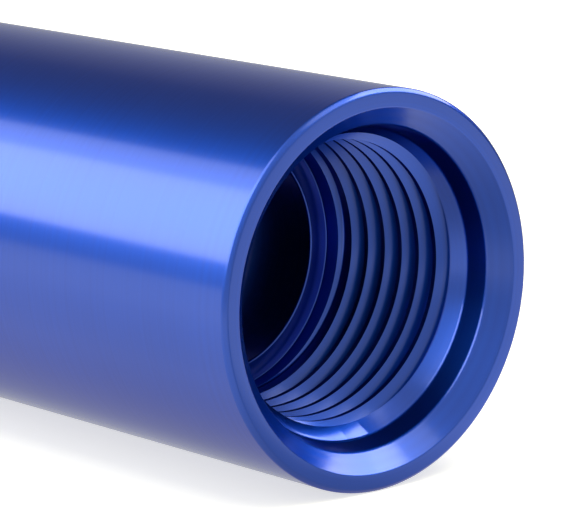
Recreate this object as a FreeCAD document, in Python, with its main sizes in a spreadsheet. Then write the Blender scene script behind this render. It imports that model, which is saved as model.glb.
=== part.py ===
# Inline fuel filter: a slim turned aluminium body with an O-ring boss port at each end.
# The outlet port is cut into the body, and the inlet port into a cap that screws into its open end.
# Inside, a pleated wire cloth element plugs into the outlet bore and a spring holds it on its gasket.
#
# X is the filter's axis and +X is the way the fuel flows. The origin is the centre of the outlet's
# end face, so the filter lies at negative x. A station is a distance from that face towards the inlet.
# Every piece is drawn from a datum of its own and placed at its station.

import FreeCAD, Part
import math
import os
import Sketcher

os.makedirs("parts", exist_ok=True)
doc = FreeCAD.newDocument("InlineFuelFilter")

# Driving dimensions, in millimetres and degrees
DRIVING_SIZES = (
    # O-ring boss port, 7/8-14 thread, the same in the body and in the cap, with its lead, seat and
    # mouth stepped out from the thread
    ("thread_minor_radius", 10.14),
    ("thread_hole_length", 12.60),
    ("lead_angle", 37.5),
    ("seat_step", 1.42),
    ("seat_length", 1.65),
    ("seat_angle", 12.0),
    ("mouth_step", 1.40),
    ("mouth_depth", 1.35),
    # Body, with a flat land round the port's mouth
    ("face_land", 1.3275),
    ("body_length", 110.0),
    ("edge_break", 0.3),
    ("chamber_wall", 2.3875),
    # Passages behind the ports, stepped in from the thread
    ("outlet_shoulder", 1.59),
    ("outlet_bore_length", 12.0),
    ("inlet_shoulder", 1.59),
    # Screwed joint between body and cap, stepped out from the chamber
    ("joint_step", 0.85),
    ("joint_length", 10.0),
    ("joint_clearance", 0.05),
    ("joint_end_gap", 0.2),
    ("joint_seat_height", 0.60),
    ("joint_seat_length", 1.80),
    ("undercut_depth", 0.90),
    # Cap head and its spanner flats
    ("head_length", 12.0),
    ("flat_depth", 0.7875),
    ("flat_length", 9.0),
    # Filter element and the gasket under its flange
    ("gasket_thickness", 1.50),
    ("gasket_setback", 0.30),
    ("spigot_reach", 3.0),
    ("spigot_clearance", 0.10),
    ("cup_clearance", 0.70),
    ("cup_floor", 1.20),
    ("cup_rim_height", 3.0),
    ("cup_rim_wall", 0.60),
    ("potting_depth", 1.0),
    ("core_radius", 6.90),
    ("core_wall", 0.50),
    ("core_lip", 0.10),
    ("core_slot_width", 2.0),
    ("core_slot_length", 14.0),
    ("core_slot_rows", 2),
    ("pleat_count", 30),
    ("pleat_thickness", 0.35),
    ("pleat_fold_gap", 0.15),
    ("pleat_core_gap", 0.10),
    ("pleat_rim_gap", 0.40),
    ("clip_wall", 0.25),
    ("clip_depth", 1.5),
    ("clip_clearance", 0.04),
    # Spring
    ("spring_mean_radius", 9.70),
    ("spring_wire", 1.20),
    ("spring_length", 9.2),
    ("spring_turns", 2.5),
    ("spring_steps", 16),
    ("spring_wire_sides", 6),
    ("boss_height", 2.0),
    ("boss_clearance", 0.20),
)

sizes = doc.addObject("Spreadsheet::Sheet", "Sizes")
for row, (name, number) in enumerate(DRIVING_SIZES, start=1):
    sizes.set(f"A{row}", name)
    sizes.set(f"B{row}", str(number))
    sizes.setAlias(f"B{row}", name)
doc.recompute()

# Sizes that follow from the driving ones, as expressions on the sheet

# Port, measured from its own end face
SEAT_RADIUS = "(Sizes.thread_minor_radius + Sizes.seat_step)"
MOUTH_RADIUS = f"({SEAT_RADIUS} + Sizes.mouth_step)"
SEAT_END = "(Sizes.mouth_depth + Sizes.seat_length)"
SEAT_END_RADIUS = f"({SEAT_RADIUS} - Sizes.seat_length * tan(Sizes.seat_angle))"
LEAD_STEP = f"({SEAT_END_RADIUS} - Sizes.thread_minor_radius)"
THREAD_START = f"({SEAT_END} + {LEAD_STEP} / tan(Sizes.lead_angle))"
PORT_DEPTH = f"({THREAD_START} + Sizes.thread_hole_length)"

# Body, measured from the outlet face
BODY_RADIUS = f"({MOUTH_RADIUS} + Sizes.face_land)"
CHAMBER_RADIUS = f"({BODY_RADIUS} - Sizes.chamber_wall)"
OUTLET_BORE_RADIUS = "(Sizes.thread_minor_radius - Sizes.outlet_shoulder)"
CHAMBER_START = f"({PORT_DEPTH} + Sizes.outlet_bore_length)"
JOINT_START = "(Sizes.body_length - Sizes.joint_length - Sizes.joint_end_gap)"
JOINT_RADIUS = f"({CHAMBER_RADIUS} + Sizes.joint_step)"
JOINT_SEAT_RADIUS = f"({JOINT_RADIUS} + Sizes.joint_seat_height)"
SPIGOT_END_STATION = "(Sizes.body_length - Sizes.joint_length)"

# Cap, measured from the inlet face
SCREW_RADIUS = f"({JOINT_RADIUS} - Sizes.joint_clearance)"
UNDERCUT_RADIUS = f"({SCREW_RADIUS} - Sizes.undercut_depth)"
INLET_BORE_RADIUS = "(Sizes.thread_minor_radius - Sizes.inlet_shoulder)"
FLAT_HEIGHT = f"({BODY_RADIUS} - Sizes.flat_depth)"

# Element, whose flange bears on a gasket on the chamber's floor
SPIGOT_RADIUS = f"({OUTLET_BORE_RADIUS} - Sizes.spigot_clearance)"
SPIGOT_BORE_RADIUS = "(Sizes.core_radius - Sizes.core_wall - Sizes.core_lip)"
SPIGOT_LENGTH = "(Sizes.spigot_reach + Sizes.gasket_thickness)"
CUP_RADIUS = f"({CHAMBER_RADIUS} - Sizes.cup_clearance)"
CUP_INNER_RADIUS = f"({CUP_RADIUS} - Sizes.cup_rim_wall)"
CUP_LENGTH = "(Sizes.cup_floor + Sizes.cup_rim_height)"
CORE_START = f"({CHAMBER_START} + Sizes.gasket_thickness + Sizes.cup_floor)"
CLOSED_CAP_END = f"({SPIGOT_END_STATION} - Sizes.spring_length)"
CORE_END = f"({CLOSED_CAP_END} - Sizes.cup_floor)"
CORE_LENGTH = f"({CORE_END} - {CORE_START})"
PACK_START = f"({CORE_START} + Sizes.potting_depth)"
PACK_LENGTH = f"({CORE_LENGTH} - 2 * Sizes.potting_depth)"
PACK_INNER_RADIUS = "(Sizes.core_radius + Sizes.pleat_core_gap)"
PACK_OUTER_RADIUS = f"({CUP_INNER_RADIUS} - Sizes.pleat_rim_gap)"
SLOT_PITCH = f"({CORE_LENGTH} / (Sizes.core_slot_rows + 0.5))"

# Clip over one pleat, whose walls spread from its crest to its roots
WIDE_FOLD = "(0.5 * Sizes.pleat_fold_gap + Sizes.pleat_thickness)"
ROOT_RADIUS = f"({PACK_INNER_RADIUS} + Sizes.pleat_thickness)"
ROOT_HALF = f"({ROOT_RADIUS} * sin(180 / Sizes.pleat_count) - 0.5 * Sizes.pleat_fold_gap)"
LEG_HEIGHT = f"({PACK_OUTER_RADIUS} - {ROOT_RADIUS} * cos(180 / Sizes.pleat_count))"
CLIP_INNER = (
    f"({WIDE_FOLD} + ({ROOT_HALF} - {WIDE_FOLD}) * Sizes.clip_depth / {LEG_HEIGHT}"
    " + Sizes.clip_clearance)"
)
CLIP_FOOT = f"({PACK_OUTER_RADIUS} - Sizes.clip_depth)"
CLIP_ROOF = f"({PACK_OUTER_RADIUS} + Sizes.clip_clearance)"

# Boss that centres the spring
BOSS_RADIUS = "(Sizes.spring_mean_radius - 0.5 * Sizes.spring_wire - Sizes.boss_clearance)"

# Angles round the core between the cuts of a row, and between two rows
CUT_ANGLE = 90
CUTS_IN_ROW = 2
STAGGER_ANGLE = 45

TOWARDS_INLET = FreeCAD.Rotation(FreeCAD.Vector(0, 0, 1), 180)
TOWARDS_OUTLET = FreeCAD.Rotation()

sub_parts = []


def amount(expression):
    """Work out an expression on the sheet."""
    return float(sizes.evalExpression(expression))


def place(piece, station, facing):
    """Put a sub-part's datum at its station and keep it for export."""
    piece.Placement = FreeCAD.Placement(FreeCAD.Vector(0, 0, 0), facing)
    piece.setExpression("Placement.Base.x", f"-({station})")
    sub_parts.append(piece)


def new_body(name):
    """Start a body that carries the sub-part's name."""
    body = doc.addObject("PartDesign::Body", name)
    body.Label = name
    return body


def new_sketch(body, name, role):
    """Attach a sketch to one of the body's own origin planes."""
    sketch = body.newObject("Sketcher::SketchObject", name)
    plane = next(feature for feature in body.Origin.OriginFeatures if feature.Role == role)
    sketch.AttachmentSupport = (plane, [""])
    sketch.MapMode = "FlatFace"
    return sketch


def bind_point(sketch, curve, end, corner):
    """Hold one sketch point at a pair of expressions, or on an axis where one of them is 0."""
    for kind, axis, expression in zip(("DistanceX", "DistanceY"), (-2, -1), corner):
        if expression == "0":
            sketch.addConstraint(Sketcher.Constraint("PointOnObject", curve, end, axis))
            continue
        distance = Sketcher.Constraint(kind, -1, 1, curve, end, amount(expression))
        index = sketch.addConstraint(distance)
        sketch.setExpression(f"Constraints[{index}]", expression)


def draw_outline(sketch, corners):
    """Draw a closed outline through corners that are pairs of expressions."""
    points = [FreeCAD.Vector(amount(along), amount(across), 0) for along, across in corners]
    first = sketch.GeometryCount
    for index, point in enumerate(points):
        following = points[(index + 1) % len(points)]
        sketch.addGeometry(Part.LineSegment(point, following), False)
    for index, corner in enumerate(corners):
        following = first + (index + 1) % len(points)
        sketch.addConstraint(Sketcher.Constraint("Coincident", first + index, 2, following, 1))
        bind_point(sketch, first + index, 1, corner)


def turn(name, corners):
    """Turn a body from a half section given as pairs (distance from its datum, radius)."""
    body = new_body(name)
    section = new_sketch(body, f"{name}_section", "XZ_Plane")
    draw_outline(section, corners)
    turned = body.newObject("PartDesign::Revolution", f"{name}_turned")
    turned.Profile = section
    turned.ReferenceAxis = (section, ["H_Axis"])
    turned.Angle = 360
    section.Visibility = False
    return body


def port_section():
    """The port's wall from the foot of its thread back to its mouth, from its own end face."""
    return [
        (PORT_DEPTH, "Sizes.thread_minor_radius"),
        (THREAD_START, "Sizes.thread_minor_radius"),
        (SEAT_END, SEAT_END_RADIUS),
        ("Sizes.mouth_depth", SEAT_RADIUS),
        ("0", MOUTH_RADIUS),
    ]


def pleat_wire(crest_radius, crest_half, root_radius, root_half):
    """Run out to a flat crest and in to a flat root once for each pleat, across the axis."""
    count = int(amount("Sizes.pleat_count"))
    points = []
    for pleat in range(count):
        crest_angle = 2 * math.pi * pleat / count
        root_angle = crest_angle + math.pi / count
        folds = ((crest_radius, crest_half, crest_angle), (root_radius, root_half, root_angle))
        for radius, half, middle in folds:
            spread = math.asin(half / radius)
            for angle in (middle - spread, middle + spread):
                points.append(FreeCAD.Vector(0, radius * math.sin(angle), radius * math.cos(angle)))
    return Part.makePolygon(points + points[:1])


def wire_section(turned, along, centre_radius, wire_radius, sides):
    """A plain many-sided section of the wire, in the half plane that the coil has turned to."""
    points = []
    for corner in range(sides + 1):
        angle = 2 * math.pi * corner / sides
        radius = centre_radius + wire_radius * math.cos(angle)
        x = along + wire_radius * math.sin(angle)
        points.append(FreeCAD.Vector(x, radius * math.sin(turned), radius * math.cos(turned)))
    return Part.makePolygon(points)


# Body, turned from bar, with the outlet port, the element's pocket and the chamber
housing = turn(
    "housing",
    [
        ("0", f"{BODY_RADIUS} - Sizes.edge_break"),
        ("Sizes.edge_break", BODY_RADIUS),
        ("Sizes.body_length - Sizes.edge_break", BODY_RADIUS),
        ("Sizes.body_length", f"{BODY_RADIUS} - Sizes.edge_break"),
        ("Sizes.body_length", JOINT_SEAT_RADIUS),
        ("Sizes.body_length - Sizes.joint_seat_length", JOINT_RADIUS),
        (JOINT_START, JOINT_RADIUS),
        (JOINT_START, CHAMBER_RADIUS),
        (CHAMBER_START, CHAMBER_RADIUS),
        (CHAMBER_START, OUTLET_BORE_RADIUS),
        (PORT_DEPTH, OUTLET_BORE_RADIUS),
    ]
    + port_section(),
)
place(housing, "0", TOWARDS_INLET)

# Inlet cap: a head with spanner flats, an undercut for its O-ring and a screwed spigot
inlet_cap = turn(
    "inlet_cap",
    [
        ("0", f"{BODY_RADIUS} - Sizes.edge_break"),
        ("Sizes.edge_break", BODY_RADIUS),
        ("Sizes.head_length - Sizes.edge_break", BODY_RADIUS),
        ("Sizes.head_length", f"{BODY_RADIUS} - Sizes.edge_break"),
        ("Sizes.head_length", UNDERCUT_RADIUS),
        ("Sizes.head_length + Sizes.joint_seat_length", UNDERCUT_RADIUS),
        ("Sizes.head_length + Sizes.joint_seat_length", SCREW_RADIUS),
        ("Sizes.head_length + Sizes.joint_length", SCREW_RADIUS),
        ("Sizes.head_length + Sizes.joint_length", INLET_BORE_RADIUS),
        (PORT_DEPTH, INLET_BORE_RADIUS),
    ]
    + port_section(),
)
flats_section = new_sketch(inlet_cap, "spanner_flats_section", "YZ_Plane")
for side in ("", "-"):
    draw_outline(
        flats_section,
        [
            (f"-2 * {BODY_RADIUS}", f"{side}{FLAT_HEIGHT}"),
            (f"2 * {BODY_RADIUS}", f"{side}{FLAT_HEIGHT}"),
            (f"2 * {BODY_RADIUS}", f"{side}2 * {BODY_RADIUS}"),
            (f"-2 * {BODY_RADIUS}", f"{side}2 * {BODY_RADIUS}"),
        ],
    )
spanner_flats = inlet_cap.newObject("PartDesign::Pocket", "spanner_flats")
spanner_flats.Profile = flats_section
spanner_flats.Reversed = True
spanner_flats.setExpression("Length", "Sizes.flat_length")
flats_section.Visibility = False
place(inlet_cap, "Sizes.body_length + Sizes.head_length", TOWARDS_OUTLET)

# Element's outlet end: a spigot that enters the outlet bore, and a cup for the end of the pleats
element_outlet_cap = turn(
    "element_outlet_cap",
    [
        ("0", SPIGOT_RADIUS),
        (SPIGOT_LENGTH, SPIGOT_RADIUS),
        (SPIGOT_LENGTH, CUP_RADIUS),
        (f"{SPIGOT_LENGTH} + {CUP_LENGTH}", CUP_RADIUS),
        (f"{SPIGOT_LENGTH} + {CUP_LENGTH}", CUP_INNER_RADIUS),
        (f"{SPIGOT_LENGTH} + Sizes.cup_floor", CUP_INNER_RADIUS),
        (f"{SPIGOT_LENGTH} + Sizes.cup_floor", SPIGOT_BORE_RADIUS),
        ("0", SPIGOT_BORE_RADIUS),
    ],
)
place(element_outlet_cap, f"{CHAMBER_START} - Sizes.spigot_reach", TOWARDS_INLET)

# Flat gasket round the spigot, between the chamber's floor and the element's flange
element_gasket = turn(
    "element_gasket",
    [
        ("0", OUTLET_BORE_RADIUS),
        ("0", f"{CUP_RADIUS} - Sizes.gasket_setback"),
        ("Sizes.gasket_thickness", f"{CUP_RADIUS} - Sizes.gasket_setback"),
        ("Sizes.gasket_thickness", OUTLET_BORE_RADIUS),
    ],
)
place(element_gasket, CHAMBER_START, TOWARDS_INLET)

# Element's closed end: a cup with a boss on its back that centres the spring
element_closed_cap = turn(
    "element_closed_cap",
    [
        ("0", CUP_INNER_RADIUS),
        ("0", CUP_RADIUS),
        (CUP_LENGTH, CUP_RADIUS),
        (CUP_LENGTH, BOSS_RADIUS),
        (f"{CUP_LENGTH} + Sizes.boss_height", BOSS_RADIUS),
        (f"{CUP_LENGTH} + Sizes.boss_height", "0"),
        ("Sizes.cup_rim_height", "0"),
        ("Sizes.cup_rim_height", CUP_INNER_RADIUS),
    ],
)
place(element_closed_cap, f"{CLOSED_CAP_END} - {CUP_LENGTH}", TOWARDS_INLET)

# Rings of potting compound that bond the pleats into the two cups
for name, station in (
    ("outlet_potting", CORE_START),
    ("closed_potting", f"{CORE_END} - Sizes.potting_depth"),
):
    potting = turn(
        name,
        [
            ("0", "Sizes.core_radius"),
            ("0", CUP_INNER_RADIUS),
            ("Sizes.potting_depth", CUP_INNER_RADIUS),
            ("Sizes.potting_depth", "Sizes.core_radius"),
        ],
    )
    place(potting, station, TOWARDS_INLET)

# Core tube that carries the pleats against the flow. Each cut passes through both of its walls, and
# every other row of slots is turned against its neighbours.
core_tube = turn(
    "core_tube",
    [
        ("0", "Sizes.core_radius - Sizes.core_wall"),
        ("0", "Sizes.core_radius"),
        (CORE_LENGTH, "Sizes.core_radius"),
        (CORE_LENGTH, "Sizes.core_radius - Sizes.core_wall"),
    ],
)
slot_rows = int(amount("Sizes.core_slot_rows"))
for name, first_slot, angle in (
    ("straight_slots", f"0.5 * {SLOT_PITCH}", 0),
    ("staggered_slots", SLOT_PITCH, STAGGER_ANGLE),
):
    slot_section = new_sketch(core_tube, f"{name}_section", "XZ_Plane")
    tilt = FreeCAD.Rotation(FreeCAD.Vector(1, 0, 0), angle)
    slot_section.AttachmentOffset = FreeCAD.Placement(FreeCAD.Vector(0, 0, 0), tilt)
    for row in range(slot_rows):
        middle = f"{first_slot} + {row} * {SLOT_PITCH}"
        draw_outline(
            slot_section,
            [
                (f"{middle} - 0.5 * Sizes.core_slot_length", "-0.5 * Sizes.core_slot_width"),
                (f"{middle} + 0.5 * Sizes.core_slot_length", "-0.5 * Sizes.core_slot_width"),
                (f"{middle} + 0.5 * Sizes.core_slot_length", "0.5 * Sizes.core_slot_width"),
                (f"{middle} - 0.5 * Sizes.core_slot_length", "0.5 * Sizes.core_slot_width"),
            ],
        )
    slots = core_tube.newObject("PartDesign::Pocket", name)
    slots.Profile = slot_section
    slots.Midplane = True
    slots.setExpression("Length", "4 * Sizes.core_radius")
    slot_section.Visibility = False
    around = core_tube.newObject("PartDesign::PolarPattern", f"{name}_around")
    around.Originals = [slots]
    around.Axis = (next(f for f in core_tube.Origin.OriginFeatures if f.Role == "X_Axis"), [""])
    around.Angle = CUT_ANGLE
    around.Occurrences = CUTS_IN_ROW
    core_tube.Tip = around
place(core_tube, CORE_START, TOWARDS_INLET)

# Pleated wire cloth: one strip folded round the core, with its two walls a cloth's thickness apart
thickness = amount("Sizes.pleat_thickness")
narrow_fold = 0.5 * amount("Sizes.pleat_fold_gap")
wide_fold = narrow_fold + thickness
pack_outer = amount(PACK_OUTER_RADIUS)
pack_inner = amount(PACK_INNER_RADIUS)
outer_wall = pleat_wire(pack_outer, wide_fold, pack_inner + thickness, narrow_fold)
inner_wall = pleat_wire(pack_outer - thickness, narrow_fold, pack_inner, wide_fold)
pleated_media = doc.addObject("Part::Feature", "pleated_media")
folded_strip = Part.makeFace([outer_wall, inner_wall], "Part::FaceMakerBullseye")
pleated_media.Shape = folded_strip.extrude(FreeCAD.Vector(amount(PACK_LENGTH), 0, 0))
place(pleated_media, PACK_START, TOWARDS_INLET)

# Clip folded over the pleat in which the two ends of the cloth meet
seam_clip = new_body("seam_clip")
clip_section = new_sketch(seam_clip, "clip_section", "YZ_Plane")
draw_outline(
    clip_section,
    [
        (f"-{CLIP_INNER} - Sizes.clip_wall", CLIP_FOOT),
        (f"-{CLIP_INNER} - Sizes.clip_wall", f"{CLIP_ROOF} + Sizes.clip_wall"),
        (f"{CLIP_INNER} + Sizes.clip_wall", f"{CLIP_ROOF} + Sizes.clip_wall"),
        (f"{CLIP_INNER} + Sizes.clip_wall", CLIP_FOOT),
        (CLIP_INNER, CLIP_FOOT),
        (CLIP_INNER, CLIP_ROOF),
        (f"-{CLIP_INNER}", CLIP_ROOF),
        (f"-{CLIP_INNER}", CLIP_FOOT),
    ],
)
clip_pad = seam_clip.newObject("PartDesign::Pad", "clip_folded")
clip_pad.Profile = clip_section
clip_pad.setExpression("Length", PACK_LENGTH)
clip_section.Visibility = False
place(seam_clip, PACK_START, TOWARDS_INLET)

# O-ring of the cap, squeezed into the undercut behind the head and the cone at the body's end
cap_o_ring = turn(
    "cap_o_ring",
    [
        ("0", UNDERCUT_RADIUS),
        ("0", JOINT_SEAT_RADIUS),
        ("Sizes.joint_seat_length", JOINT_RADIUS),
        ("Sizes.joint_seat_length", UNDERCUT_RADIUS),
    ],
)
place(cap_o_ring, "Sizes.body_length", TOWARDS_OUTLET)

# Compression spring between the cap's spigot and the element, with its two ends ground flat
spring_length = amount("Sizes.spring_length")
spring_mean = amount("Sizes.spring_mean_radius")
wire_radius = 0.5 * amount("Sizes.spring_wire")
steps_in_turn = int(amount("Sizes.spring_steps"))
steps = round(amount("Sizes.spring_turns") * steps_in_turn)
wire_sides = int(amount("Sizes.spring_wire_sides"))
coil_sections = [
    wire_section(
        2 * math.pi * step / steps_in_turn,
        spring_length * step / steps,
        spring_mean,
        wire_radius,
        wire_sides,
    )
    for step in range(steps + 1)
]
coil = Part.makeLoft(coil_sections, True, True)
room = Part.makeCylinder(
    spring_mean + 2 * wire_radius, spring_length, FreeCAD.Vector(0, 0, 0), FreeCAD.Vector(1, 0, 0)
)
spring = doc.addObject("Part::Feature", "spring")
spring.Shape = coil.common(room)
place(spring, CLOSED_CAP_END, TOWARDS_INLET)

# Check every object, then write each sub-part
doc.recompute()
for item in doc.Objects:
    if "Invalid" in item.State or "Error" in item.State:
        raise RuntimeError(f"{item.Label} did not build: {item.State}")
for piece in sub_parts:
    shape = piece.Shape
    if shape.isNull() or not shape.isValid() or not shape.Solids:
        raise RuntimeError(f"{piece.Label} has no valid solid")
    shape.exportStep(f"parts/{piece.Label}.step")
    print(f"{piece.Label}: {len(shape.Solids)} solid, {shape.Volume:.1f} mm3")
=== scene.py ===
"""Inline fuel filter, dressed: a slim turned blue body with a threaded port at each end."""

import logging
import math
from collections.abc import Callable, Sequence
from dataclasses import dataclass
from enum import Enum
from itertools import pairwise

import bmesh
import bpy
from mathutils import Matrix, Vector


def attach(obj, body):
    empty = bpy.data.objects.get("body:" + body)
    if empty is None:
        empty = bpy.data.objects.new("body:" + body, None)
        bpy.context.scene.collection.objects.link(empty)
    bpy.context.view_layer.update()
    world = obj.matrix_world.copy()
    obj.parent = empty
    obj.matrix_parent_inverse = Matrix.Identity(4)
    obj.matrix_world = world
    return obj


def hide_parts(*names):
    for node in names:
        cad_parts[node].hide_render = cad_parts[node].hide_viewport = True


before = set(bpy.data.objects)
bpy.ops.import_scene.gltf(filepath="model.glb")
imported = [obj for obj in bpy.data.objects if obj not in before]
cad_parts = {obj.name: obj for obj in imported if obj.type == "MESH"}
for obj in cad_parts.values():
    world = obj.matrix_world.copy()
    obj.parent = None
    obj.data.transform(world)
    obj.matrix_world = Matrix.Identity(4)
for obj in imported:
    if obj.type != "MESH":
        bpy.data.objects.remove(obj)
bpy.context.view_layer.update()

logging.basicConfig(level=logging.INFO, format="%(message)s")
log = logging.getLogger("fuel_filter")

MM = 0.001
BODY = "root"
FULL_TURN = 2 * math.pi


class Side(Enum):
    """Which way a port faces along the filter's axis."""

    OUTLET = 1
    INLET = -1


# Small tools of the bench


def start_clean() -> None:
    """Leave edit mode and deselect every object."""
    if bpy.context.object and bpy.context.object.mode != "OBJECT":
        bpy.ops.object.mode_set(mode="OBJECT")
    bpy.ops.object.select_all(action="DESELECT")


def make_active(piece: bpy.types.Object) -> None:
    """Select one object alone and make it the active one."""
    start_clean()
    piece.select_set(True)
    bpy.context.view_layer.objects.active = piece


def name_piece(piece: bpy.types.Object, name: str) -> None:
    """Give an object and its mesh one name."""
    piece.name = name
    piece.data.name = name


def select_vertices(piece: bpy.types.Object, wanted: Callable[[Vector], bool]) -> int:
    """Select the vertices of the mesh in edit mode that pass a test of their place.

    Args:
        piece: The object in edit mode.
        wanted: Says from a vertex's place whether it is selected.

    Returns:
        How many vertices were selected.
    """
    mesh = bmesh.from_edit_mesh(piece.data)
    count = 0
    for vertex in mesh.verts:
        chosen = wanted(vertex.co)
        vertex.select_set(chosen)
        count += chosen
    mesh.select_flush_mode()
    bmesh.update_edit_mesh(piece.data)
    return count


def apply_modifier(piece: bpy.types.Object, kind: str, **settings: object) -> None:
    """Add one modifier to a piece and apply it.

    Args:
        piece: The object that gets the modifier.
        kind: The modifier's type.
        **settings: Values for the modifier's own fields.
    """
    make_active(piece)
    modifier = piece.modifiers.new(kind.lower(), kind)
    for field_name, value in settings.items():
        setattr(modifier, field_name, value)
    bpy.ops.object.modifier_apply(modifier=modifier.name)


def cut_with(piece: bpy.types.Object, cutter: bpy.types.Object) -> None:
    """Take a cutter's volume out of a piece and delete the cutter."""
    apply_modifier(piece, "BOOLEAN", operation="DIFFERENCE", solver="EXACT", object=cutter)
    bpy.data.objects.remove(cutter)


def shade(piece: bpy.types.Object, sharp_from: float = 32.0) -> None:
    """Shade a piece smooth up to an angle in degrees, with its broad faces kept even."""
    make_active(piece)
    bpy.ops.object.shade_smooth_by_angle(angle=math.radians(sharp_from))
    apply_modifier(piece, "WEIGHTED_NORMAL", keep_sharp=True, weight=80)


def finish_piece(piece: bpy.types.Object, finish: "Finish", *nodes: str) -> None:
    """Dress a piece, ride it on the body and hide the nodes that it stands for.

    Args:
        piece: The finished mesh, with its place in its vertices.
        finish: The finish that it gets.
        *nodes: The solids that it replaces.
    """
    piece.data.materials.clear()
    piece.data.materials.append(finish.material())
    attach(piece, BODY)
    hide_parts(*nodes)
    log.info("%s: %d faces, %s", piece.name, len(piece.data.polygons), finish.slot)


# Finishes


class NodeBench:
    """A node tree, with short calls to add, fill and link its nodes."""

    def __init__(self, tree: bpy.types.NodeTree) -> None:
        """Work on a tree that exists."""
        self.tree = tree

    def add(self, kind: str, **settings: object) -> bpy.types.Node:
        """Add a node and set its own fields."""
        node = self.tree.nodes.new(kind)
        for field_name, value in settings.items():
            setattr(node, field_name, value)
        return node

    def link(self, source: bpy.types.NodeSocket, sink: bpy.types.NodeSocket) -> None:
        """Join two sockets."""
        self.tree.links.new(source, sink)

    def math(self, operation: str, *values: object) -> bpy.types.NodeSocket:
        """Add a Math node whose inputs are numbers or sockets, and return its result."""
        node = self.add("ShaderNodeMath", operation=operation)
        for socket, value in zip(node.inputs, values):
            if isinstance(value, bpy.types.NodeSocket):
                self.link(value, socket)
            else:
                socket.default_value = value
        return node.outputs[0]

    def axes(self) -> bpy.types.NodeOutputs:
        """The place on the object, as its three coordinates in metres."""
        node = self.add("ShaderNodeSeparateXYZ")
        self.link(self.add("ShaderNodeTexCoord").outputs["Object"], node.inputs[0])
        return node.outputs

    def radius(self) -> bpy.types.NodeSocket:
        """The distance from the X axis, in metres."""
        place = self.axes()
        across = self.add("ShaderNodeCombineXYZ")
        self.link(place["Y"], across.inputs["Y"])
        self.link(place["Z"], across.inputs["Z"])
        node = self.add("ShaderNodeVectorMath", operation="LENGTH")
        self.link(across.outputs[0], node.inputs[0])
        return node.outputs["Value"]

    def turned_line(self, radius_share: float = 0.618) -> bpy.types.NodeSocket:
        """A length in millimetres that grows along a turned section, on walls and faces alike."""
        share = self.math("MULTIPLY", self.radius(), radius_share)
        return self.math("MULTIPLY", self.math("ADD", self.axes()["X"], share), 1 / MM)

    def noise(
        self, scale: float, detail: float, line: bpy.types.NodeSocket | None = None
    ) -> bpy.types.NodeSocket:
        """Add a noise pattern, in space or along a line, and return its value.

        Args:
            scale: Waves in a metre, or in a unit of the line.
            detail: How many finer layers it has.
            line: A one-dimensional coordinate, or None for the object's own space.

        Returns:
            The noise value, about 0 to 1.
        """
        node = self.add("ShaderNodeTexNoise", noise_dimensions="1D" if line else "3D")
        node.inputs["Scale"].default_value = scale
        node.inputs["Detail"].default_value = detail
        if line:
            self.link(line, node.inputs["W"])
        else:
            place = self.add("ShaderNodeTexCoord").outputs["Object"]
            self.link(place, node.inputs["Vector"])
        return node.outputs[0]

    def between(
        self, value: bpy.types.NodeSocket, low: float, high: float
    ) -> bpy.types.NodeSocket:
        """Spread a noise value over a range of plain numbers."""
        spread = self.add("ShaderNodeMapRange")
        spread.inputs["From Min"].default_value = 0.3
        spread.inputs["From Max"].default_value = 0.7
        spread.inputs["To Min"].default_value = low
        spread.inputs["To Max"].default_value = high
        self.link(value, spread.inputs["Value"])
        return spread.outputs[0]

    def tint(
        self, value: bpy.types.NodeSocket, one: Sequence[float], other: Sequence[float]
    ) -> bpy.types.NodeSocket:
        """Blend two colours by a noise value."""
        ramp = self.add("ShaderNodeValToRGB")
        ramp.color_ramp.elements[0].position = 0.3
        ramp.color_ramp.elements[0].color = (*one, 1.0)
        ramp.color_ramp.elements[1].position = 0.7
        ramp.color_ramp.elements[1].color = (*other, 1.0)
        self.link(value, ramp.inputs[0])
        return ramp.outputs[0]

    def profile(
        self, value: bpy.types.NodeSocket, stops: Sequence[tuple[float, float]]
    ) -> bpy.types.NodeSocket:
        """Read a plain number off straight lines between stops.

        Args:
            value: The place to read at.
            stops: Places in rising order, each with the number that holds there.

        Returns:
            The number.
        """
        first, last = stops[0][0], stops[-1][0]
        share = self.add("ShaderNodeMapRange")
        share.inputs["From Min"].default_value = first
        share.inputs["From Max"].default_value = last
        self.link(value, share.inputs["Value"])
        ramp = self.add("ShaderNodeValToRGB")
        elements = ramp.color_ramp.elements
        while len(elements) < len(stops):
            elements.new(1.0)
        for element, (place, number) in zip(elements, stops):
            element.position = (place - first) / (last - first)
            element.color = (number, number, number, 1.0)
        self.link(share.outputs[0], ramp.inputs[0])
        return ramp.outputs[0]

    def bump(
        self,
        height: bpy.types.NodeSocket,
        depth: float,
        under: bpy.types.NodeSocket | None = None,
    ) -> bpy.types.NodeSocket:
        """Turn a height into a bent normal, on top of an earlier one where there is one."""
        node = self.add("ShaderNodeBump")
        node.inputs["Strength"].default_value = 1.0
        node.inputs["Distance"].default_value = depth
        self.link(height, node.inputs["Height"])
        if under:
            self.link(under, node.inputs["Normal"])
        return node.outputs[0]


class MaterialBench(NodeBench):
    """The node tree of a new material, with its main shader."""

    def __init__(self, name: str) -> None:
        """Start a material."""
        self.material = bpy.data.materials.new(name)
        self.material.use_nodes = True
        super().__init__(self.material.node_tree)
        self.shader = self.tree.nodes["Principled BSDF"]


@dataclass(frozen=True)
class Finish:
    """A surface finish that a piece can be dressed in."""

    slot: str

    def material(self) -> bpy.types.Material:
        """Return the finish's material, made on first use."""
        made = bpy.data.materials.get(f"{self.slot}_finish")
        return made or self.make()

    def make(self) -> bpy.types.Material:
        """Make the material; each kind of finish has its own way."""
        raise NotImplementedError


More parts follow.
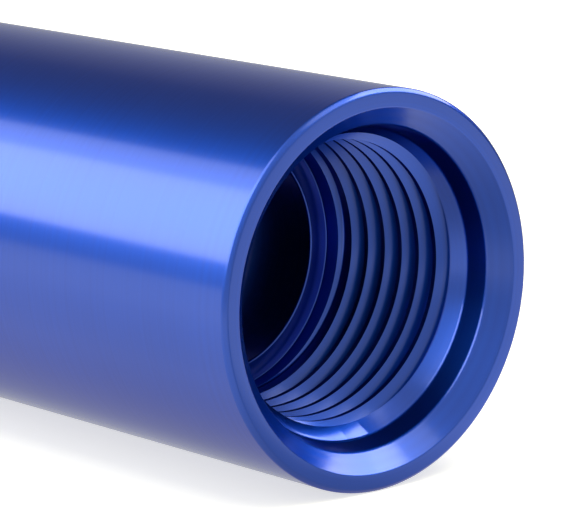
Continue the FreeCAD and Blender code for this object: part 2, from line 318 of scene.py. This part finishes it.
@dataclass(frozen=True)
class TurnedAnodising(Finish):
    """Dyed anodised aluminium over lathe marks: clear hard skin on coloured metal.

    Attributes:
        dye: The dyed metal's colour.
        dye_deep: Its colour where the skin is a little thicker.
        metal_roughness: Roughness of the metal under the skin, low and high.
        skin_roughness: Roughness of the skin itself, low and high.
        mark_depth: Depth of the lathe marks in metres.
        bored_radius: Radius in metres inside which the metal is bored and not turned.
        bored_share: How rough a bored wall is, as a share of a turned one.
    """

    dye: tuple[float, float, float] = (0.005, 0.069, 0.455)
    dye_deep: tuple[float, float, float] = (0.004, 0.058, 0.395)
    metal_roughness: tuple[float, float] = (0.38, 0.45)
    skin_roughness: tuple[float, float] = (0.13, 0.17)
    mark_depth: float = 0.0000012
    bored_radius: float = 11.54 * MM
    bored_share: float = 0.75

    def make(self) -> bpy.types.Material:
        """Build the finish from marks that follow the section, finer in the bores."""
        bench = MaterialBench(f"{self.slot}_finish")
        shader = bench.shader.inputs
        line = bench.turned_line()
        fine_marks = bench.noise(9.0, 3.0, line)
        broad_marks = bench.noise(0.45, 2.0, line)
        lines = bench.noise(2.2, 4.0, line)
        clouds = bench.noise(90.0, 3.0)
        mix = bench.math("MULTIPLY", bench.math("ADD", lines, clouds), 0.5)
        bench.link(bench.tint(mix, self.dye, self.dye_deep), shader["Base Color"])
        bench.link(bench.between(lines, *self.skin_roughness), shader["Coat Roughness"])
        bored = bench.math("LESS_THAN", bench.radius(), self.bored_radius)
        share = bench.math("SUBTRACT", 1.0, bench.math("MULTIPLY", bored, 1 - self.bored_share))
        roughness = bench.between(fine_marks, *self.metal_roughness)
        bench.link(bench.math("MULTIPLY", roughness, share), shader["Roughness"])
        bench.link(
            bench.bump(fine_marks, self.mark_depth, bench.bump(broad_marks, self.mark_depth)),
            shader["Normal"],
        )
        tangent = bench.add("ShaderNodeTangent", direction_type="RADIAL", axis="X")
        bench.link(tangent.outputs[0], shader["Tangent"])
        shader["Metallic"].default_value = 1.0
        shader["Specular Tint"].default_value = (0.15, 0.35, 1.0, 1.0)
        shader["Anisotropic"].default_value = 0.3
        shader["Anisotropic Rotation"].default_value = 0.25
        shader["Coat Weight"].default_value = 1.0
        shader["Coat IOR"].default_value = 1.55
        return bench.material


@dataclass(frozen=True)
class PlainMetal(Finish):
    """Bare metal with fine drawn or turned marks.

    Attributes:
        colour: The metal's colour.
        dull: The colour between the marks.
        roughness: Roughness, low and high.
        mark_depth: Depth of the marks in metres.
    """

    colour: tuple[float, float, float]
    dull: tuple[float, float, float]
    roughness: tuple[float, float]
    mark_depth: float = 0.0000008

    def make(self) -> bpy.types.Material:
        """Build the finish from marks along the section and a faint cloudiness."""
        bench = MaterialBench(f"{self.slot}_finish")
        shader = bench.shader.inputs
        marks = bench.noise(7.0, 3.0, bench.turned_line())
        clouds = bench.noise(400.0, 3.0)
        bench.link(bench.tint(clouds, self.colour, self.dull), shader["Base Color"])
        bench.link(bench.between(marks, *self.roughness), shader["Roughness"])
        bench.link(bench.bump(marks, self.mark_depth), shader["Normal"])
        shader["Metallic"].default_value = 1.0
        return bench.material


@dataclass(frozen=True)
class WovenWire(Finish):
    """Fine stainless wire cloth, woven square to the filter's axis.

    Attributes:
        colour: The wires' colour.
        shadow: The colour between the wires.
        wires_per_mm: How many wires there are in a millimetre.
    """

    colour: tuple[float, float, float] = (0.50, 0.50, 0.49)
    shadow: tuple[float, float, float] = (0.10, 0.10, 0.10)
    wires_per_mm: float = 6.0

    def make(self) -> bpy.types.Material:
        """Build the weave from two crossed sets of waves."""
        bench = MaterialBench(f"{self.slot}_finish")
        shader = bench.shader.inputs
        place = bench.add("ShaderNodeTexCoord").outputs["Object"]
        heights = []
        for direction in ("X", "Z"):
            wave = bench.add("ShaderNodeTexWave", bands_direction=direction)
            wave.inputs["Scale"].default_value = self.wires_per_mm / MM / FULL_TURN
            bench.link(place, wave.inputs["Vector"])
            heights.append(wave.outputs["Fac"])
        weave = bench.math("MAXIMUM", *heights)
        bench.link(bench.tint(weave, self.shadow, self.colour), shader["Base Color"])
        bench.link(bench.bump(weave, 0.00003), shader["Normal"])
        shader["Metallic"].default_value = 1.0
        shader["Roughness"].default_value = 0.42
        return bench.material


@dataclass(frozen=True)
class MouldedStuff(Finish):
    """Rubber or cast resin: soft mottling and a slightly uneven skin.

    Attributes:
        colour: The main colour.
        mottle: The colour of its paler patches.
        roughness: Roughness, low and high.
        grain: Waves of its grain in a metre.
    """

    colour: tuple[float, float, float]
    mottle: tuple[float, float, float]
    roughness: tuple[float, float]
    grain: float

    def make(self) -> bpy.types.Material:
        """Build the finish from one grain."""
        bench = MaterialBench(f"{self.slot}_finish")
        shader = bench.shader.inputs
        grain = bench.noise(self.grain, 4.0)
        bench.link(bench.tint(grain, self.colour, self.mottle), shader["Base Color"])
        bench.link(bench.between(grain, *self.roughness), shader["Roughness"])
        bench.link(bench.bump(grain, 0.00001), shader["Normal"])
        return bench.material


BLUE = TurnedAnodising("blue_anodised")
ALUMINIUM = PlainMetal("plain_aluminium", (0.78, 0.78, 0.79), (0.70, 0.70, 0.71), (0.28, 0.40))
STAINLESS = PlainMetal("stainless_steel", (0.60, 0.60, 0.60), (0.50, 0.50, 0.50), (0.25, 0.40))
SPRING_STEEL = PlainMetal("spring_steel", (0.55, 0.55, 0.56), (0.42, 0.42, 0.43), (0.22, 0.35))
WIRE_CLOTH = WovenWire("steel_cloth")
RUBBER = MouldedStuff("black_rubber", (0.012, 0.012, 0.013), (0.03, 0.03, 0.03), (0.45, 0.6), 900.0)
RESIN = MouldedStuff("potting_resin", (0.32, 0.26, 0.17), (0.42, 0.36, 0.26), (0.30, 0.5), 500.0)


# Turned pieces


@dataclass(frozen=True)
class Corner:
    """One corner of a turned section, in millimetres.

    Attributes:
        x: Place along the axis.
        r: Radius.
        rounding: How far the corner is rounded off along its two sides.
    """

    x: float
    r: float
    rounding: float = 0.0


@dataclass(frozen=True)
class Turning:
    """A ring-shaped piece turned about the X axis from a closed half section.

    Attributes:
        name: The piece's name.
        section: The corners of the half section, in order.
        steps: Flats in a full turn.
    """

    name: str
    section: tuple[Corner, ...]
    steps: int = 256

    def build(self) -> bpy.types.Object:
        """Draw the half section, round its corners and spin it round the axis.

        Returns:
            The turned piece, with its place in its mesh.
        """
        start_clean()
        bpy.ops.mesh.primitive_plane_add(size=MM, location=(0, 0, 0))
        piece = bpy.context.object
        name_piece(piece, self.name)
        bpy.ops.object.mode_set(mode="EDIT")
        bpy.ops.mesh.merge(type="CENTER")
        first = self.section[0]
        bpy.ops.transform.translate(value=(first.x * MM, 0, first.r * MM))
        for here, following in pairwise(self.section):
            step = ((following.x - here.x) * MM, 0, (following.r - here.r) * MM)
            bpy.ops.mesh.extrude_vertices_move(TRANSFORM_OT_translate={"value": step})
        bpy.ops.mesh.select_all(action="SELECT")
        bpy.ops.mesh.edge_face_add()
        self._round_corners(piece)
        bpy.ops.mesh.select_all(action="SELECT")
        bpy.ops.mesh.delete(type="ONLY_FACE")
        bpy.ops.mesh.select_all(action="SELECT")
        bpy.ops.mesh.spin(steps=self.steps, angle=FULL_TURN, center=(0, 0, 0), axis=(1, 0, 0))
        bpy.ops.mesh.select_all(action="SELECT")
        bpy.ops.mesh.remove_doubles(threshold=0.0001 * MM)
        bpy.ops.mesh.normals_make_consistent(inside=False)
        bpy.ops.object.mode_set(mode="OBJECT")
        return piece

    def _round_corners(self, piece: bpy.types.Object) -> None:
        """Round each corner of the flat section that asks for it."""
        near = 0.001 * MM
        for corner in self.section:
            if not corner.rounding:
                continue
            place = Vector((corner.x * MM, 0, corner.r * MM))
            bpy.ops.mesh.select_mode(type="VERT")
            select_vertices(piece, lambda point, place=place: (point - place).length < near)
            bpy.ops.mesh.bevel(
                offset=corner.rounding * MM, segments=4, profile=0.5, affect="VERTICES"
            )


@dataclass(frozen=True)
class PortSection:
    """The section of an O-ring boss port, as depths behind its face and radii in millimetres.

    Attributes:
        mouth_radius: Radius at the face.
        seat_depth: Depth of the O-ring seat's rim.
        seat_radius: Radius of the seat's rim.
        seat_end_depth: Depth of the seat's foot.
        seat_end_radius: Radius of the seat's foot.
        thread_start: Depth at which the lead meets the thread.
        thread_end: Depth of the shoulder.
        minor_radius: Radius over the thread's crests.
        bore_radius: Radius of the passage behind the shoulder.
    """

    mouth_radius: float = 12.96
    seat_depth: float = 1.35
    seat_radius: float = 11.56
    seat_end_depth: float = 3.00
    seat_end_radius: float = 11.2093
    thread_start: float = 4.3935
    thread_end: float = 16.9935
    minor_radius: float = 10.14
    bore_radius: float = 8.55

    def corners(self, face: float, side: Side) -> tuple[Corner, ...]:
        """The port's corners from its shoulder back out to its mouth.

        Args:
            face: Where the port's own end face lies along the axis.
            side: Which way the port faces.

        Returns:
            The corners in order from the passage to the mouth.
        """
        stations = (
            (self.thread_end, self.bore_radius, 0.18),
            (self.thread_end, self.minor_radius, 0.12),
            (self.thread_start, self.minor_radius, 0.05),
            (self.seat_end_depth, self.seat_end_radius, 0.14),
            (self.seat_depth, self.seat_radius, 0.16),
            (0.0, self.mouth_radius, 0.08),
        )
        return tuple(Corner(face - side.value * d, r, rounding) for d, r, rounding in stations)


@dataclass(frozen=True)
class ThreadTap:
    """A right-handed 60 degree internal thread, cut the way a tap's tooth travels.

    Attributes:
        minor_radius: Radius over the crests; not used.
        major_radius: Radius at the roots.
        pitch: Travel in a full turn.
        first_depth: Depth of the groove's middle straight above the axis, before the first turn.
        turns: Length of the groove in turns.
        runout: Length of its shallowing end in turns.
        root_rounding: Radius of the groove's bottom.
        base_radius: Radius that the tooth's foot reaches inside the hole.
        tip_segments: Flats round the tooth's tip.
        steps: Flats in a full turn.
    """

    minor_radius: float = 10.14
    major_radius: float = 11.11
    pitch: float = 1.8143
    first_depth: float = 2.1615
    turns: float = 7.6
    runout: float = 1.2
    root_rounding: float = 0.26
    base_radius: float = 9.97
    tip_segments: int = 5
    steps: int = 256

    def cut(self, piece: bpy.types.Object, face: float, side: Side) -> None:
        """Cut the thread into a port.

        Args:
            piece: The turned piece that holds the port.
            face: Where the port's end face lies along the axis, in millimetres.
            side: Which way the port faces.
        """
        tooth = self._tooth()
        apply_modifier(
            tooth,
            "SCREW",
            axis="X",
            angle=-FULL_TURN * self.turns,
            screw_offset=-self.pitch * self.turns * MM,
            steps=round(self.steps * self.turns),
            render_steps=round(self.steps * self.turns),
            use_merge_vertices=False,
            use_smooth_shade=False,
        )
        self._shallow_end(tooth)
        bpy.ops.object.mode_set(mode="EDIT")
        bpy.ops.mesh.select_mode(type="VERT")
        bpy.ops.mesh.select_all(action="DESELECT")
        bpy.ops.mesh.select_non_manifold(use_wire=False, use_multi_face=False)
        bpy.ops.mesh.edge_face_add()
        bpy.ops.mesh.select_all(action="SELECT")
        bpy.ops.mesh.normals_make_consistent(inside=False)
        bpy.ops.object.mode_set(mode="OBJECT")
        if side is Side.INLET:
            tooth.rotation_euler = (0, 0, math.pi)
        tooth.location = (face * MM, 0, 0)
        make_active(tooth)
        bpy.ops.object.transform_apply(location=True, rotation=True, scale=True)
        cut_with(piece, tooth)

    def _tooth(self) -> bpy.types.Object:
        """Shape the tooth's section above the axis: a 60 degree point with a rounded tip."""
        slope = math.tan(math.radians(30))
        point_radius = self.major_radius + self.root_rounding
        height = point_radius - self.base_radius
        middle = Vector((-self.first_depth * MM, 0, (self.base_radius + 0.5 * height) * MM))
        start_clean()
        bpy.ops.mesh.primitive_plane_add(size=MM, location=middle, rotation=(math.pi / 2, 0, 0))
        tooth = bpy.context.object
        name_piece(tooth, "tap_tooth")
        bpy.ops.object.transform_apply(location=True, rotation=True, scale=True)
        bpy.ops.object.mode_set(mode="EDIT")
        bpy.ops.transform.resize(value=(2 * slope * height, 1, height), center_override=middle)
        select_vertices(tooth, lambda point: point.z > middle.z)
        bpy.ops.mesh.merge(type="CENTER")
        bpy.ops.mesh.bevel(
            offset=self.root_rounding / slope * MM,
            segments=self.tip_segments,
            profile=0.5,
            affect="VERTICES",
        )
        bpy.ops.object.mode_set(mode="OBJECT")
        return tooth

    def _shallow_end(self, tooth: bpy.types.Object) -> None:
        """Draw the last part of the groove in towards the axis, so that it fades out."""
        lift = (self.major_radius - self.base_radius) * MM
        columns = self.tip_segments + 3
        fading = round(self.runout * self.steps)
        rings = len(tooth.data.vertices) // columns
        for index, vertex in enumerate(tooth.data.vertices):
            ring = index // columns
            share = (ring - (rings - 1 - fading)) / fading
            if share > 0:
                radius = math.hypot(vertex.co.y, vertex.co.z)
                scale = (radius - share * share * lift) / radius
                vertex.co.y *= scale
                vertex.co.z *= scale


@dataclass(frozen=True)
class Housing:
    """The turned body: outlet port, pocket for the element, chamber and screwed mouth.

    Attributes:
        length: Length in millimetres.
        radius: Outside radius.
        edge: Width of the broken edges.
        bore_end: Depth of the element's pocket floor.
        chamber_radius: Radius of the chamber.
        joint_radius: Radius of the hole for the cap's spigot.
        joint_start: Where that hole starts, from the outlet face.
        seat_radius: Radius at which the O-ring's cone meets the end face.
        seat_length: Length of that cone.
    """

    length: float = 110.0
    radius: float = 14.2875
    edge: float = 0.3
    bore_end: float = 28.9935
    chamber_radius: float = 11.9
    joint_radius: float = 12.75
    joint_start: float = 99.8
    seat_radius: float = 13.35
    seat_length: float = 1.8
    port: PortSection = PortSection()
    tap: ThreadTap = ThreadTap()

    def build(self) -> bpy.types.Object:
        """Turn the body and tap its port."""
        ring = self.radius - self.edge
        section = (
            Corner(0.0, ring, 0.10),
            Corner(-self.edge, self.radius, 0.12),
            Corner(-self.length + self.edge, self.radius, 0.12),
            Corner(-self.length, ring, 0.10),
            Corner(-self.length, self.seat_radius),
            Corner(-self.length + self.seat_length, self.joint_radius),
            Corner(-self.joint_start, self.joint_radius),
            Corner(-self.joint_start, self.chamber_radius, 0.2),
            Corner(-self.bore_end, self.chamber_radius, 0.2),
            Corner(-self.bore_end, self.port.bore_radius, 0.15),
            *self.port.corners(0.0, Side.OUTLET),
        )
        piece = Turning("filter_housing", section).build()
        self.tap.cut(piece, 0.0, Side.OUTLET)
        shade(piece)
        finish_piece(piece, BLUE, "housing")
        return piece


@dataclass(frozen=True)
class InletCap:
    """The cap that screws into the body: head with spanner flats, spigot and inlet port.

    Attributes:
        face: Where the inlet face lies along the axis, in millimetres.
        joint: Where the head meets the body.
        radius: Outside radius of the head.
        edge: Width of the broken edges.
        undercut_radius: Radius of the O-ring's groove.
        undercut_length: Length of that groove.
        spigot_radius: Radius of the screwed spigot.
        spigot_end: Where the spigot ends.
        flat_height: Distance of each spanner flat from the axis.
        flat_length: Length of the flats.
    """

    face: float = -122.0
    joint: float = -110.0
    radius: float = 14.2875
    edge: float = 0.3
    undercut_radius: float = 11.8
    undercut_length: float = 1.8
    spigot_radius: float = 12.70
    spigot_end: float = -100.0
    flat_height: float = 13.5
    flat_length: float = 9.0
    port: PortSection = PortSection()
    tap: ThreadTap = ThreadTap()

    def build(self) -> bpy.types.Object:
        """Turn the cap, cut its flats and tap its port."""
        ring = self.radius - self.edge
        groove_end = self.joint + self.undercut_length
        section = (
            Corner(self.face, ring, 0.10),
            Corner(self.face + self.edge, self.radius, 0.12),
            Corner(self.joint - self.edge, self.radius, 0.12),
            Corner(self.joint, ring, 0.10),
            Corner(self.joint, self.undercut_radius, 0.2),
            Corner(groove_end, self.undercut_radius, 0.2),
            Corner(groove_end, self.spigot_radius, 0.15),
            Corner(self.spigot_end, self.spigot_radius, 0.15),
            Corner(self.spigot_end, self.port.bore_radius, 0.15),
            *self.port.corners(self.face, Side.INLET),
        )
        piece = Turning("filter_inlet_cap", section).build()
        self._cut_flats(piece)
        self.tap.cut(piece, self.face, Side.INLET)
        shade(piece)
        finish_piece(piece, BLUE, "inlet_cap")
        return piece

    def _cut_flats(self, piece: bpy.types.Object) -> None:
        """Mill the two spanner flats."""
        depth = self.radius
        for side in (1, -1):
            start_clean()
            middle = (
                (self.face - 0.5 * self.flat_length) * MM,
                0,
                side * (self.flat_height + 0.5 * depth) * MM,
            )
            bpy.ops.mesh.primitive_cube_add(size=MM, location=middle)
            mill = bpy.context.object
            name_piece(mill, "end_mill_path")
            bpy.ops.object.mode_set(mode="EDIT")
            bpy.ops.transform.resize(
                value=(3 * self.flat_length, 4 * self.radius, depth), center_override=middle
            )
            bpy.ops.object.mode_set(mode="OBJECT")
            make_active(mill)
            bpy.ops.object.transform_apply(location=True, rotation=True, scale=True)
            cut_with(piece, mill)


@dataclass(frozen=True)
class ElementSpring:
    """The compression spring between the cap and the element, with ground ends.

    Attributes:
        start: Where its end on the element lies along the axis, in millimetres.
        length: Its length as fitted.
        mean_radius: Radius of the coil's middle line.
        wire: The wire's diameter.
        turns: How many turns it has.
        wire_sides: Flats round the wire.
        steps: Steps in a full turn.
    """

    start: float = -90.8
    length: float = 9.2
    mean_radius: float = 9.7
    wire: float = 1.2
    turns: float = 2.5
    wire_sides: int = 16
    steps: int = 64

    def build(self) -> bpy.types.Object:
        """Wind the coil and grind its two ends flat."""
        start_clean()
        bpy.ops.mesh.primitive_circle_add(
            vertices=self.wire_sides,
            radius=0.5 * self.wire * MM,
            location=(self.start * MM, 0, self.mean_radius * MM),
            rotation=(math.pi / 2, 0, 0),
        )
        coil = bpy.context.object
        name_piece(coil, "element_spring_coil")
        bpy.ops.object.transform_apply(location=True, rotation=True, scale=True)
        apply_modifier(
            coil,
            "SCREW",
            axis="X",
            angle=FULL_TURN * self.turns,
            screw_offset=-self.length * MM,
            steps=round(self.steps * self.turns),
            render_steps=round(self.steps * self.turns),
            use_merge_vertices=False,
        )
        bpy.ops.object.mode_set(mode="EDIT")
        bpy.ops.mesh.select_mode(type="VERT")
        bpy.ops.mesh.select_all(action="SELECT")
        bpy.ops.mesh.fill_holes(sides=0)
        for station, facing in ((self.start, 1), (self.start - self.length, -1)):
            bpy.ops.mesh.select_all(action="SELECT")
            bpy.ops.mesh.bisect(
                plane_co=(station * MM, 0, 0),
                plane_no=(facing, 0, 0),
                use_fill=True,
                clear_outer=True,
            )
        bpy.ops.mesh.select_all(action="SELECT")
        bpy.ops.mesh.remove_doubles(threshold=0.0001 * MM)
        bpy.ops.mesh.normals_make_consistent(inside=False)
        bpy.ops.object.mode_set(mode="OBJECT")
        shade(coil, 40.0)
        finish_piece(coil, SPRING_STEEL, "spring")
        return coil


@dataclass(frozen=True)
class InnerPieces:
    """The element's own solids, whose shape is right and which only need their finish."""

    finishes: tuple[tuple[str, Finish], ...] = (
        ("cap_o_ring", RUBBER),
        ("element_gasket", RUBBER),
        ("element_outlet_cap", ALUMINIUM),
        ("element_closed_cap", ALUMINIUM),
        ("outlet_potting", RESIN),
        ("closed_potting", RESIN),
        ("core_tube", STAINLESS),
        ("seam_clip", STAINLESS),
        ("pleated_media", WIRE_CLOTH),
    )

    def dress(self) -> None:
        """Put each solid's finish in its material slots."""
        for name, finish in self.finishes:
            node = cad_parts[name]
            for slot in node.material_slots:
                slot.material = finish.material()
            log.info("%s: %s", name, finish.slot)


# Studio


@dataclass(frozen=True)
class SoftBox:
    """A rectangular soft light that faces the filter.

    Attributes:
        name: The light's name.
        place: Its middle, in metres.
        target: The point that it faces.
        size: Its sides, in metres: first along the floor, then upright.
        radiance: How bright its face looks, where 1 is white.
        mirrored: Whether it is there for the metal to mirror or for the floor's shadow.
    """

    name: str
    place: tuple[float, float, float]
    target: tuple[float, float, float]
    size: tuple[float, float]
    radiance: float
    mirrored: bool = True

    def hang(self) -> bpy.types.Object:
        """Put the light up."""
        lamp = bpy.data.lights.new(self.name, "AREA")
        lamp.shape = "RECTANGLE"
        lamp.size, lamp.size_y = self.size
        lamp.energy = self.radiance * math.pi * self.size[0] * self.size[1]
        box = bpy.data.objects.new(self.name, lamp)
        bpy.context.scene.collection.objects.link(box)
        box.location = self.place
        aim = Vector(self.target) - Vector(self.place)
        box.rotation_euler = aim.to_track_quat("-Z", "Y").to_euler()
        box.visible_diffuse = not self.mirrored
        box.visible_glossy = self.mirrored
        return box


@dataclass(frozen=True)
class Studio:
    """Pale floor, soft light and the camera of the photograph.

    Attributes:
        floor_z: Height of the floor under the filter.
        floor_side: Side of the square floor.
        floor_colour: The floor's own colour, warm against the blue that the filter throws on it.
        glow_colour: What the camera sees on top of the floor's own light.
        painted_shade_aside: How bright the metal mirrors the floor, from the camera's side to the
            back, as a glow with painted shade.
        room_aside: How bright the room is in that direction.
        painted_shadow_across: The same from the front across the filter to the back, with a painted
            shadow where the filter lies.
        camera_place: Where the camera stands.
        camera_aim: The way that it looks.
        lens: Its focal length in millimetres, on a 36 mm frame.
    """

    floor_z: float = -0.0142875
    floor_side: float = 6.0
    floor_colour: tuple[float, float, float] = (0.90, 0.88, 0.70)
    glow_colour: tuple[float, float, float] = (0.65, 0.64, 0.61)
    painted_shade_aside: tuple[tuple[float, float], ...] = (
        (-0.20, 0.60),
        (-0.10, 0.90),
        (-0.03, 1.00),
        (0.03, 1.00),
        (0.16, 0.50),
    )
    room_aside: tuple[tuple[float, float], ...] = (
        (-1.3, 0.65),
        (-0.5, 0.70),
        (-0.1, 0.80),
        (0.1, 0.50),
        (0.6, 0.15),
        (1.1, 0.15),
        (1.4, 0.40),
    )
    painted_shadow_across: tuple[tuple[float, float], ...] = (
        (-0.06, 1.30),
        (-0.02, 0.98),
        (-0.008, 0.60),
        (0.0, 0.60),
        (0.018, 1.25),
        (0.04, 1.05),
        (0.1, 1.08),
    )
    camera_place: tuple[float, float, float] = (0.18207, -0.16849, 0.05111)
    camera_aim: tuple[float, float, float] = (-0.7365, 0.6480, -0.1940)
    lens: float = 225.2

    def build(self) -> None:
        """Set the whole studio up."""
        self._lay_floor()
        self._light()
        self._fill_world()
        self._place_camera()

    def _lay_floor(self) -> None:
        """Lay a white floor that keeps the filter's shadow, which the metal mirrors as a glow with
        painted shade and a painted shadow.
        """
        start_clean()
        bpy.ops.mesh.primitive_plane_add(size=self.floor_side, location=(0, 0, self.floor_z))
        floor = bpy.context.object
        name_piece(floor, "studio_floor")
        bench = MaterialBench("studio_white")
        bench.shader.inputs["Base Color"].default_value = (*self.floor_colour, 1.0)
        bench.shader.inputs["Roughness"].default_value = 0.9
        bench.shader.inputs["Specular IOR Level"].default_value = 0.0
        path = bench.add("ShaderNodeLightPath")
        glow = bench.add("ShaderNodeEmission")
        glow.inputs["Color"].default_value = (*self.glow_colour, 1.0)
        bench.link(path.outputs["Is Camera Ray"], glow.inputs["Strength"])
        seen = bench.add("ShaderNodeAddShader")
        bench.link(bench.shader.outputs[0], seen.inputs[0])
        bench.link(glow.outputs[0], seen.inputs[1])
        # Painted shade and a painted shadow: glossy rays see a glow in place of the lit floor. Its
        # strength is set by place, dimmer on the camera's side and at the back, with a painted
        # shadow along the filter.
        place = bench.axes()
        aside = bench.math("SUBTRACT", place["Y"], place["X"])
        mirrored = bench.add("ShaderNodeEmission")
        bench.link(
            bench.math(
                "MULTIPLY",
                bench.profile(aside, self.painted_shade_aside),
                bench.profile(place["Y"], self.painted_shadow_across),
            ),
            mirrored.inputs["Strength"],
        )
        both = bench.add("ShaderNodeMixShader")
        output = bench.tree.nodes["Material Output"]
        bench.link(path.outputs["Is Glossy Ray"], both.inputs[0])
        bench.link(seen.outputs[0], both.inputs[1])
        bench.link(mirrored.outputs[0], both.inputs[2])
        bench.link(both.outputs[0], output.inputs["Surface"])
        floor.data.materials.append(bench.material)

    def _light(self) -> None:
        """Hang two long soft boxes before the filter, two behind its outlet and one over it."""
        over = Vector((0.20, 0.12, 0.0))
        boxes = (
            SoftBox("front_soft_box", (-0.70, -0.441, 0.40), (-0.70, 0.0, 0.0), (1.9, 0.64), 1.8),
            SoftBox("front_core_box", (-0.70, -0.485, 0.34), (-0.70, 0.0, 0.0), (1.9, 0.46), 1.8),
            SoftBox("back_soft_box", (0.12, 0.76, 0.64), (0.0, 0.0, 0.0), (0.75, 0.7), 4.6),
            SoftBox("back_fill_box", (0.40, 0.40, 0.80), (0.0, 0.0, 0.0), (0.6, 0.6), 1.3),
            SoftBox("top_soft_box", (*over.xy, 1.2), tuple(over), (1.5, 1.5), 2.2, False),
        )
        for box in boxes:
            box.hang()

    def _fill_world(self) -> None:
        """Fill the room: white to the camera, and as bright as room_aside says to the metal."""
        world = bpy.data.worlds.new("studio_room")
        bpy.context.scene.world = world
        world.use_nodes = True
        bench = NodeBench(world.node_tree)
        axes = bench.add("ShaderNodeSeparateXYZ")
        bench.link(bench.add("ShaderNodeTexCoord").outputs["Generated"], axes.inputs[0])
        aside = bench.math("SUBTRACT", axes.outputs["Y"], axes.outputs["X"])
        path = bench.add("ShaderNodeLightPath")
        background = bench.tree.nodes["Background"]
        background.inputs["Color"].default_value = (1.0, 1.0, 1.0, 1.0)
        bench.link(
            bench.math(
                "MAXIMUM", path.outputs["Is Camera Ray"], bench.profile(aside, self.room_aside)
            ),
            background.inputs["Strength"],
        )

    def _place_camera(self) -> None:
        """Stand the camera where the photograph was taken from."""
        lens = bpy.data.cameras.new("photo_camera")
        lens.lens = self.lens
        lens.sensor_width = 36.0
        lens.clip_start = 0.001
        lens.clip_end = 20.0
        camera = bpy.data.objects.new("photo_camera", lens)
        bpy.context.scene.collection.objects.link(camera)
        camera.location = self.camera_place
        camera.rotation_euler = Vector(self.camera_aim).to_track_quat("-Z", "Y").to_euler()
        bpy.context.scene.camera = camera


def main() -> None:
    """Build the studio and the filter, and report each piece."""
    bpy.context.scene.view_settings.view_transform = "Standard"
    Studio().build()
    Housing().build()
    InletCap().build()
    ElementSpring().build()
    InnerPieces().dress()


if __name__ == "__main__":
    main()
